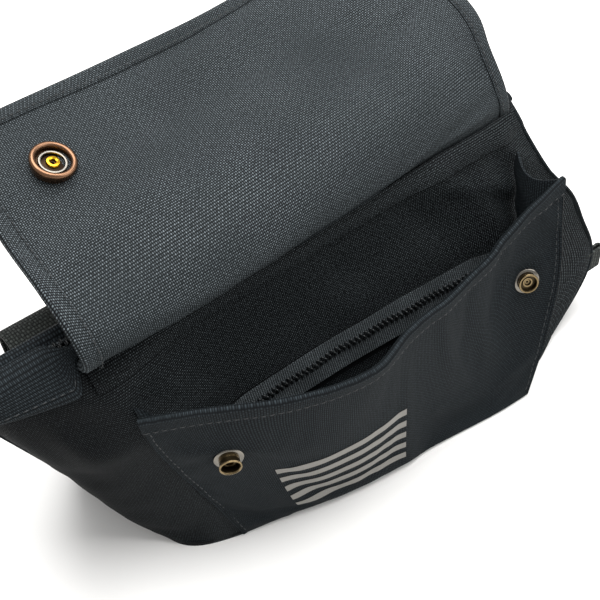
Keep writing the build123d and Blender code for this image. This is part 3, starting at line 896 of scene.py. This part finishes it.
for edge, label, shift, stand in ((0.0, "left", 2.0, "pocket_left_gusset"),
                                  (1.0, "right", -3.0, "pocket_right_gusset")):
    gusset = clothGrid("pocket_gusset_" + label, 14, 40, gussetPlace(edge, shift), shellCloth)
    giveThickness(gusset, 1.0, offset=0.0)
    settlePlace(gusset, "bag", "shell_fabric", stand)


# zip inside the pocket mouth, sewn on the body panel
pocketZip = {"left": -79.0, "long": 158.0}


def tapePlace(low, high, lift):
    def place(u, v):
        x = pocketZip["left"] + pocketZip["long"] * u
        z = low + (high - low) * v
        y = wallAt(x, z) - lift - 0.35 * np.sin(u * 40) * np.sin(v * math.pi)
        return np.stack([x, y, z], 1)
    return place


tape = clothGrid("pocket_zip_tape", 140, 12, tapePlace(47, 61.5, 1.2), tapeCloth)
nets["pocket_zip_tape"] = netOf("pocket_zip_tape")
giveThickness(tape, 0.8, offset=1.0, smooth=0)
settlePlace(tape, "bag", "zip_tape", "pocket_zip_tapes")
backing = clothGrid("pocket_zip_backing", 60, 8, tapePlace(44, 57, 0.3), innerCloth)
giveThickness(backing, 0.5, offset=0.0, smooth=0)
settlePlace(backing, "bag", "lining", "pocket_zip_lining")
coilX = np.linspace(-76, 76, 100)
spot, out = onSheet("pocket_zip_tape", (coilX - pocketZip["left"]) / pocketZip["long"], 0.58, 0.6)
coilOn("pocket_coil", spot, out, 3.6, 1.2, 1.2, "pocket_zip_coil")
print("pocket made")


# flap
flapShape = {
    "across": [0.0, 0.148, 0.357, 0.595, 0.786, 0.905, 1.0],
    "up": [0.0, 0.1, 0.2, 0.29, 0.385, 0.57, 0.74, 0.87, 1.0],
    "net": [
        [(-105, -9.5, 104.4), (-74, -9.5, 104.4), (-30, -9.5, 104.5), (20, -9, 105), (60, -8, 105.6),
         (82, -8.5, 106), (98, -8, 106.5)],
        [(-105, -17, 110), (-74, -16.5, 110), (-30, -15, 110.5), (20, -12.5, 111.5), (60, -9, 112.5),
         (82, -8.5, 113), (97.5, -7.5, 113)],
        [(-105, -20, 119), (-74, -19, 119), (-30, -16, 119.5), (20, -12, 120.5), (60, -7.5, 121.5),
         (82, -5, 121.5), (98, -2.5, 121)],
        [(-105, -12, 128), (-74, -11, 128), (-30, -8, 128.5), (20, -4.5, 129.5), (60, 0.5, 130.5),
         (83, 5, 130.5), (100, 8, 130)],
        [(-105, 3, 133), (-74, 5, 133.5), (-30, 7, 134), (20, 9.5, 135), (60, 12, 135.8), (84, 14.5, 136),
         (102.5, 16, 136.5)],
        [(-105, 25, 137.5), (-74, 28, 139.8), (-30, 29, 140), (20, 31, 141), (60, 33, 142),
         (85, 34, 142.5), (105, 34, 142.5)],
        [(-105, 42.5, 146.5), (-74, 45.5, 145.2), (-30, 46, 142.5), (20, 49, 145), (60, 53.5, 148.3),
         (85, 54.5, 149.2), (105, 54.5, 148.5)],
        [(-105, 57.5, 151.5), (-74, 59.5, 149.4), (-30, 62, 147.5), (20, 64, 149.5), (60, 68, 152.6),
         (85, 68.8, 153.4), (105, 67.5, 153)],
        [(-105, 71, 155), (-74, 73.5, 153), (-30, 77, 150.5), (20, 77.5, 151.5), (60, 80, 155),
         (85, 80.5, 156), (105, 78, 156)],
    ],
    "columns": 120, "rows": 66, "thickness": 1.3, "corner": 11.0, "wide": 210.0, "long": 112.0,
}
flapFolds = [
    ((-40, 10, 135), (0, 62, 150), 9.0, -1.8, (0, 0, 1)), ((-10, 8, 135), (46, 50, 146), 8.0, 1.5,
                                                           (0, 0, 1)),
    ((30, 14, 137), (92, 62, 150), 7.0, -1.7, (0, 0, 1)), ((60, 10, 136), (98, 40, 144), 6.0, 1.4,
                                                           (0, 0, 1)),
    ((-98, 8, 134), (-50, 22, 138), 7.0, 1.2, (0, 0, 1)), ((-60, 66, 152), (10, 70, 150), 6.0, -1.3,
                                                           (0, 0, 1)),
]
flapRaw = surfaceThrough(flapShape["across"], flapShape["up"], flapShape["net"])


def flapPlace(u, v):
    # rounded far corners: the outline is drawn in towards the middle there
    width, length = flapShape["wide"], flapShape["long"]
    edge = np.minimum(u, 1 - u) * width
    far = (1 - v) * length
    r = flapShape["corner"]
    a, b = np.clip(r - edge, 0, r), np.clip(r - far, 0, r)
    reach = np.maximum(np.maximum(a, b), 1e-6)
    scale = np.where((a > 0) & (b > 0), reach / np.maximum(np.hypot(a, b), 1e-6), 1.0)
    newEdge = np.where((a > 0) & (b > 0), r - a * scale, edge)
    newFar = np.where((a > 0) & (b > 0), r - b * scale, far)
    uu = np.where(u < 0.5, newEdge / width, 1 - newEdge / width)
    return creases(flapRaw(uu, 1 - newFar / length), flapFolds)


flap = clothGrid("flap_lining_cloth", flapShape["columns"], flapShape["rows"], flapPlace, flapCloth)
rowsOf, colsOf, gridRows, gridColumns = rowsAndColumns("flap_lining_cloth")
count = len(rowsOf)
order = grids["flap_lining_cloth"][0]
flatSpots = np.zeros((count, 3))
flatSpots[order] = netOf("flap_lining_cloth").reshape(-1, 3)
pins = np.full(count, 0.05)
pins[(rowsOf <= 4)] = 1
pins[(rowsOf >= gridRows - 2) | (colsOf <= 1) | (colsOf >= gridColumns - 2)] = 1
for snapX in (-74, 74):
    pins[np.hypot(flatSpots[:, 0] - snapX, flatSpots[:, 1] - 45.5) < 10] = 1
settleCloth(flap, pins, 12, 0.006, 0.0, 2.0, gravity=0.2, ease=5)
nets["flap_lining_cloth"] = netOf("flap_lining_cloth")
giveThickness(flap, flapShape["thickness"], offset=-1.0)
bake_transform(flap)
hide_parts("flap_lining")


def flapOuterPlace(u, v):
    spot, out = onSheet("flap_lining_cloth", u, v, -1.5)
    return spot


outer = clothGrid("flap_outer_cloth", 120, 66, flapOuterPlace, shellCloth)
giveThickness(outer, 1.2, offset=-1.0, smooth=0)
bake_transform(outer)
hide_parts("flap_strip", "flap_panel")


def borderPath(inset, first, last, steps):
    # u, v along the flap's three free edges, inset mm from the edge
    width, length = flapShape["wide"], flapShape["long"]
    i, j = inset / width, inset / length
    c, d = 10.0 / width, 10.0 / length
    corner = [(i, first), (i, 1 - j - d), (i + c * 0.3, 1 - j - d * 0.3), (i + c, 1 - j),
              (1 - i - c, 1 - j), (1 - i - c * 0.3, 1 - j - d * 0.3), (1 - i, 1 - j - d), (1 - i, last)]
    corner = np.array(corner)
    span = np.concatenate([[0], np.cumsum(np.hypot(*(np.diff(corner, axis=0) * [width, length]).T))])
    where = np.linspace(0, span[-1], steps)
    return np.interp(where, span, corner[:, 0]), np.interp(where, span, corner[:, 1])


def flapHemPlace(u, v):
    # the binding wraps the three free edges: v 0 on the lining, 1 on the outer face
    steps = 240
    first = 0.02
    outU, outV = borderPath(0.2, first, first, steps)
    inU, inV = borderPath(6.0, first, first, steps)
    at = u * (steps - 1)
    edgeU, edgeV = np.interp(at, np.arange(steps), outU), np.interp(at, np.arange(steps), outV)
    deepU, deepV = np.interp(at, np.arange(steps), inU), np.interp(at, np.arange(steps), inV)
    top = np.clip(v / 0.42, 0, 1)
    under = np.clip((v - 0.58) / 0.42, 0, 1)
    near = np.where(v < 0.5, top, 1 - under)
    uu, vv = deepU + (edgeU - deepU) * near, deepV + (edgeV - deepV) * near
    turn = np.clip((v - 0.42) / 0.16, 0, 1)
    lift = np.where(v < 0.42, 0.12 + 0.25 * np.clip(v / 0.2, 0, 1), 0.37 - 3.6 * turn)
    lift = np.where(v > 0.58, -3.23 + 0.3 * np.clip((v - 0.8) / 0.2, 0, 1), lift)
    spot, out = onSheet("flap_lining_cloth", uu, vv)
    middle = np.array([0.0, 30.0, 140.0])
    away = spot - middle
    away[:, 2] = 0
    away /= np.linalg.norm(away, axis=1, keepdims=True)
    return spot + out * lift[:, None] + away * (1.3 * np.sin(turn * math.pi))[:, None]


hem = clothGrid("flap_edge_hem", 260, 24, flapHemPlace, flapCloth)
giveThickness(hem, 0.3, offset=1.0, smooth=0)
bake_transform(hem)
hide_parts("flap_hem")


def seamPlace(u, v):
    # the flap's lower edge is turned and sewn flat on the body panel
    low, _ = onSheet("flap_lining_cloth", u, np.full(len(u), 0.015))
    x = low[:, 0]
    x = np.clip(x, -104.5, 99)
    low[:, 0] = x
    span = np.clip(x, -104, 98)
    wall = wallAt(span, np.full(len(u), 100.0)) - 1.4
    foot = np.stack([x, wall, np.full(len(u), 99.5)], 1)
    ways = v[:, None]
    out = foot * (1 - ways) + (low + np.array([0, -1.1, 0.6])) * ways
    out[:, 1] -= 0.9 * np.sin(v * math.pi)
    return out


seam = clothGrid("flap_seam_fold", 130, 8, seamPlace, wallCloth)
giveThickness(seam, 0.5, offset=1.0, smooth=0)
settlePlace(seam, "bag", "shell_fabric", "flap_seam")
print("flap made")


# webbing
webLook = {"wide": 25.0, "thick": 1.8}


def strapPlace(path, wide, across=(1.0, 0, 0)):
    path = np.asarray(path, float)
    span = np.concatenate([[0], np.cumsum(np.linalg.norm(np.diff(path, axis=0), axis=1))])
    span /= span[-1]

    def place(u, v):
        spot = smoothThrough(span, path, v)
        return spot + np.outer((u - 0.5) * wide, across)
    return place


def backWallPoint(x, z, lift):
    net = nets["back_body_panel"].reshape(-1, 3)
    best = np.argsort((net[:, 0] - x) ** 2 + (net[:, 2] - z) ** 2)[:4]
    return float(net[best, 1].mean()) + lift


bandLow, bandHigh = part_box("mounting_band")
bandBox = (bandLow.x / mm, bandHigh.x / mm, bandLow.z / mm, bandHigh.z / mm)


def bandPlace(u, v):
    x = bandBox[0] + (bandBox[1] - bandBox[0]) * u
    z = bandBox[2] + (bandBox[3] - bandBox[2]) * v
    y = np.array([backWallPoint(a, b, 1.0) for a, b in zip(x, z)])
    return np.stack([x, y + 0.5 * np.sin(u * math.pi * 5), z], 1)


band = clothGrid("mounting_band_webbing", 60, 16, bandPlace, webbingCloth)
giveThickness(band, webLook["thick"], offset=-1.0)
settlePlace(band, "bag", "webbing", "mounting_band")
for label, node in (("left", "left_strap_loop"), ("right", "right_strap_loop")):
    low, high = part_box(node)
    x = (low.x + high.x) / 2 / mm
    y0, y1, z0, z1 = low.y / mm, high.y / mm, low.z / mm, high.z / mm
    loopPath = [(x, backWallPoint(x, z1 - 1, 0.8), z1), (x, backWallPoint(x, z1 - 6, 2.5), z1 - 1.5),
                (x, y1 - 2.5, z1 - 8),
                (x, y1 - 0.6, (z0 + z1) / 2 + 3), (x, y1 - 0.9, (z0 + z1) / 2 - 6), (x, y1 - 2.5,
                        z0 + 5), (x, backWallPoint(x, z0 + 4, 2.5), z0 + 1.2),
                (x, backWallPoint(x, z0 + 1, 0.8), z0)]
    loop = clothGrid("strap_loop_" + label, 16, 60, strapPlace(loopPath, webLook["wide"]), webbingCloth)
    giveThickness(loop, webLook["thick"], offset=-1.0)
    settlePlace(loop, "bag", "webbing", node)
for label, node in (("left", "left_tab"), ("right", "right_tab")):
    low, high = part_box(node)
    x0, x1, y0, y1, z0, z1 = low.x / mm, high.x / mm, low.y / mm, high.y / mm, low.z / mm, high.z / mm
    hand = -1 if label == "left" else 1
    near, far = (x1, x0) if hand < 0 else (x0, x1)
    y = (y0 + y1) / 2
    if label == "right":
        # the right tab stands on edge, folded across its end
        middle = (z0 + z1) / 2
        tabPath = [(x0 - 5, y0 + 0.7, middle), (x0 + 2, y0 + 0.6, middle), (x1 - 1.4, y0 + 0.7, middle),
                   (x1 - 0.6, y, middle),
                   (x1 - 1.4, y1 - 0.7, middle), (x0 + 2, y1 - 0.6, middle), (x0 - 5, y1 - 0.7, middle)]
        tab = clothGrid("end_tab_right", 14, 36, strapPlace(tabPath, z1 - z0, (0, 0, 1.0)), webbingCloth)
        giveThickness(tab, 1.2, offset=0.0)
        settlePlace(tab, "bag", "webbing", node)
        continue
    tabPath = [(near, y, z1 - 0.5), (near + (far - near) * 0.5, y, z1 + 0.6 - (z1 - z0) * 0.2),
               (far - hand * 1.0, y, (z0 + z1) / 2 + 1),
               (far, y, (z0 + z1) / 2 - 0.5), (far - hand * 1.4, y, (z0 + z1) / 2 - 2), (near, y, z0 + 0.6)]
    tab = clothGrid("end_tab_" + label, 14, 36, strapPlace(tabPath, y1 - y0, (0, 1.0, 0)), webbingCloth)
    giveThickness(tab, 1.3, offset=0.0)
    settlePlace(tab, "bag", "webbing", node)
print("webbing made")


# piping over the shell's seams
def seamWelt(name, points, radius):
    piece = smallTube(name, points, np.array([[radius, radius * 0.8]]), shellCloth, sides=8)
    return settlePlace(piece, "bag", "shell_fabric")


shellNet = nets["bagShell"]
for label, column in (("front_left", stops[0]), ("front_right", stops[6]), ("back_right", stops[8]),
                      ("back_left", stops[10])):
    seamWelt("welt_" + label, shellNet[1:-2, column], 0.8)

# stitching
steps = np.linspace(0, 1, 90)
stitchRun("ridge_topstitch_front", [(onSheet("ridge_lip_front", steps * 0.17, np.full(90, 0.16), 1.0))],
          threadNylon, "bag", "shell_fabric")
stitchRun("ridge_topstitch_back", [(onSheet("ridge_lip_back", steps, np.full(90, 0.16), 1.0))],
          threadNylon, "bag", "shell_fabric")
rise = np.linspace(0.03, 0.97, 70)
stitchRun("pocket_side_stitch", [onSheet("pocket_panel", np.full(70, 0.018), rise, 0.1),
                                 onSheet("pocket_panel", np.full(70, 0.982), rise, 0.1)],
          threadNylon, "bag", "shell_fabric")
stitchRun("pocket_hem_stitch", [onSheet("pocket_panel", steps, np.full(90, 0.935), 0.75)], threadNylon,
          "bag", "shell_fabric")
u, v = borderPath(5.0, 0.05, 0.05, 220)
run = onSheet("flap_lining_cloth", u, v, 1.4)
flapStitch = stitchRun("flap_edge_stitch", [run], threadNylon, None, "lining")
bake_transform(flapStitch)
print("stitching made")


# reflective stripes on the pocket
# plain bars of one width stand where a printed mark would be
stripeLook = {"count": 5, "wide": 3.4, "gap": 3.6, "left": 0.205, "right": 0.53, "low": 0.12, "tall": 90.0}


def stripePlace(index):
    def place(u, v):
        bottom = stripeLook["low"] + index * (stripeLook["wide"] + stripeLook["gap"]) / stripeLook["tall"]
        spot, _ = onSheet("pocket_panel", stripeLook["left"] + (stripeLook["right"] - stripeLook["left"]) * u,
                          bottom + v * stripeLook["wide"] / stripeLook["tall"], 0.22)
        return spot
    return place


for index in range(stripeLook["count"]):
    stripe = clothGrid("reflective_stripe_%d" % (index + 1), 60, 4, stripePlace(index), stripeFilm)
    giveThickness(stripe, 0.12, offset=0.0, smooth=0)
    settlePlace(stripe, "bag", "shell_fabric")


# the pocket pieces each take their own copy of their mesh
pressed = ["pocket_panel", "pocket_mouth_hem", "pocket_gusset_left", "pocket_gusset_right",
           "pocket_side_stitch", "pocket_hem_stitch"]
pressed += ["reflective_stripe_%d" % (index + 1) for index in range(stripeLook["count"])]
for name in pressed:
    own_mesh(bpy.data.objects[name])


# press studs
# each profile is (radius, height) in mm, turned about the snap's own axis
snapLook = {
    "flange": [(5.7, -0.3), (5.7, 0.45), (5.3, 0.85), (4.4, 0.95), (3.6, 0.95), (3.6, -0.3)],
    "cup": [(3.9, 0.5), (3.9, 3.5), (4.25, 3.85), (4.4, 4.25), (4.25, 4.6), (3.9, 4.7), (3.6, 4.5),
            (3.45, 4.0), (3.4, 1.7), (2.2, 1.5), (2.1, 2.3),
            (1.5, 2.3), (1.3, 1.2), (0.5, 1.1), (0.5, 0.5)],
    "ring": [(8.0, -1.2), (8.4, 0.8), (8.6, 1.9), (8.4, 2.6), (7.8, 3.1), (7.1, 3.15), (6.5, 2.8),
             (6.25, 2.3), (6.2, 0.0), (6.2, -1.2)],
    "pan": [(6.3, -0.1), (6.3, 0.35), (3.4, 0.3), (2.9, 0.55), (2.0, 0.55), (0.6, 0.4), (0.6, -0.1)],
    "spring": [(5.35, 0.95), (5.15, 1.4), (4.75, 1.5), (4.35, 1.4), (4.15, 0.95), (4.35, 0.5),
               (4.75, 0.35), (5.15, 0.5)],
    "post": [(2.6, 0.4), (2.6, 1.2), (2.3, 1.6), (1.7, 1.7), (1.2, 1.4), (1.05, 0.8), (1.05, 0.4)],
    "cap": [(8.8, 0.0), (9.0, 0.4), (8.7, 0.9), (7.6, 1.4), (5.0, 1.8), (2.0, 1.95), (0.05, 2.0),
            (0.05, 0.0)],
    "rivet": [(4.6, 0.0), (4.6, 0.4), (4.1, 0.8), (2.4, 1.0), (0.05, 1.05), (0.05, 0.0)],
}


def turnedPart(name, profile, material, spot, out):
    deselectAll()
    radius, height = profile[0]
    bpy.ops.mesh.primitive_circle_add(vertices=44, radius=radius * mm)
    piece = bpy.context.object
    piece.name = name
    bpy.ops.object.mode_set(mode="EDIT")
    bpy.ops.mesh.select_all(action="SELECT")
    bpy.ops.transform.translate(value=(0, 0, height * mm))
    for nextRadius, nextHeight in profile[1:]:
        bpy.ops.mesh.extrude_edges_move(TRANSFORM_OT_translate={"value": (0, 0,
                (nextHeight - height) * mm)})
        grow = nextRadius / radius
        bpy.ops.transform.resize(value=(grow, grow, 1), center_override=(0, 0, nextHeight * mm))
        radius, height = nextRadius, nextHeight
    bpy.ops.mesh.select_all(action="DESELECT")
    bpy.ops.mesh.select_non_manifold()
    bpy.ops.mesh.bridge_edge_loops()
    bpy.ops.mesh.select_all(action="SELECT")
    bpy.ops.mesh.normals_make_consistent(inside=False)
    bpy.ops.object.mode_set(mode="OBJECT")
    turn = Vector(out).to_track_quat("Z", "Y").to_matrix().to_4x4()
    piece.data.transform(Matrix.Translation(Vector(spot) * mm) @ turn)
    piece.data.materials.append(material)
    bpy.ops.object.shade_smooth_by_angle(angle=math.radians(40))
    return piece


# the right stud is lower, so that it stays under the closed flap
for label, u, v, tall in (("left", 0.142, 0.655, 1.0), ("right", 0.897, 0.585, 0.62)):
    spot, out = onSheet("pocket_panel", u, v, 0.25)
    flange = turnedPart("stud_flange_" + label, snapLook["flange"], paleNickel, spot, out)
    settlePlace(flange, "bag", "antique_brass", "snap_studs")
    cup = turnedPart("stud_cup_" + label, [(radius, 0.5 + (height - 0.5) * tall) for radius,
                                           height in snapLook["cup"]], bronze, spot, out)
    settlePlace(cup, "bag", "antique_brass", "snap_studs")
    spot, out = onSheet("pocket_panel", u, v, -pocketShape["thickness"] - 0.2)
    rivet = turnedPart("stud_rivet_" + label, snapLook["rivet"], antiqueBrass, spot, -out)
    settlePlace(rivet, "bag", "antique_brass", "snap_rivets")
for label, u, v, lean in (("left", 0.136, 0.722, 0.2), ("right", 0.853, 0.775, 0.0)):
    spot, out = onSheet("flap_lining_cloth", u, v, 0.3)
    out = out + np.array([lean, 0.0, 0.0])
    for part, finish, slotName in (("ring", antiqueBrass, "antique_brass"),
                                   ("pan", panShadeBrass, "antique_brass"),
                                   ("spring", paleNickel, "antique_brass")):
        settlePlace(turnedPart("socket_%s_%s" % (part, label), snapLook[part], finish, spot, out), "flap",
                    slotName, "snap_sockets")
    settlePlace(turnedPart("socket_post_" + label, snapLook["post"], brightBrass, spot, out), "flap",
                "bright_brass", "snap_posts")
    spot, out = onSheet("flap_lining_cloth", u, v, -2.75)
    settlePlace(turnedPart("snap_cap_" + label, snapLook["cap"], antiqueBrass, spot, -out), "flap",
                "antique_brass", "snap_caps")
print("press studs made")


# metal pieces kept from the frame
def finishNode(name, material):
    piece = nodes[name]
    if not piece.data.materials:
        piece.data.materials.append(material)
    for index in range(len(piece.material_slots)):
        piece.material_slots[index].material = material


for name in ("ridge_zip_slider", "ridge_zip_pull", "pocket_zip_slider", "pocket_zip_pull"):
    finishNode(name, zipMetal)

# floor, light, camera
deselectAll()
bpy.ops.mesh.primitive_plane_add(size=6.0, location=(0, 0, cadLow.z))
floor = bpy.context.object
floor.name = "studio_floor"
paper, tree, skin = startMaterial("white_seamless_paper")
fibre = addNode(tree, "ShaderNodeTexNoise", {"Scale": 300.0})
shade = addNode(tree, "ShaderNodeMix", {"data_type": "RGBA"}, {"Factor": fibre.outputs[0]})
shade.inputs[6].default_value = linear("f4f3f1")
shade.inputs[7].default_value = linear("f8f7f5")
tree.links.new(shade.outputs[2], skin.inputs["Base Color"])
skin.inputs["Roughness"].default_value = 0.9
floor.data.materials.append(paper)
floor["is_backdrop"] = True

world = bpy.data.worlds.new("studio")
bpy.context.scene.world = world
world.use_nodes = True
world.node_tree.nodes["Background"].inputs[0].default_value = linear("ffffff")
world.node_tree.nodes["Background"].inputs[1].default_value = 0.62


def softLight(name, place, aim, size, power):
    data = bpy.data.lights.new(name, "AREA")
    data.energy = power
    data.size = size
    light = bpy.data.objects.new(name, data)
    light.location = place
    light.rotation_mode = "QUATERNION"
    light.rotation_quaternion = (Vector(aim) - Vector(place)).to_track_quat("-Z", "Y")
    bpy.context.scene.collection.objects.link(light)


softLight("key", (0.25, 0.3, 1.6), (0, 0, 0.05), 1.5, 46.0)
softLight("fill", (0.9, -0.6, 0.9), (0, 0, 0.05), 1.0, 8.0)
bpy.context.scene.view_settings.view_transform = "Standard"

cameraLook = {"place": (-0.16261, -0.23951, 0.38172), "bearing": 33.07, "dip": 48.42, "roll": -5.18,
              "lens": 62.48}
a, e, r = (math.radians(cameraLook[k]) for k in ("bearing", "dip", "roll"))
forward = Vector((math.sin(a) * math.cos(e), math.cos(a) * math.cos(e), -math.sin(e)))
right = Vector((math.cos(a), -math.sin(a), 0))
upward = right.cross(forward)
tiltRight = right * math.cos(r) + upward * math.sin(r)
tiltUp = upward * math.cos(r) - right * math.sin(r)
lens = bpy.data.cameras.new("studio_camera")
lens.lens = cameraLook["lens"]
lens.sensor_width = 36.0
lens.clip_start = 0.01
view = bpy.data.objects.new("studio_camera", lens)
turn = Matrix((tiltRight, tiltUp, -forward)).transposed()
view.matrix_world = Matrix.Translation(Vector(cameraLook["place"])) @ turn.to_4x4()
bpy.context.scene.collection.objects.link(view)
bpy.context.scene.camera = view

low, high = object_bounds()
print("CAD box", [round(x / mm, 1) for x in (*cadLow, *cadHigh)])
print("visual box", [round(x / mm, 1) for x in (*low, *high)])
print("finished")
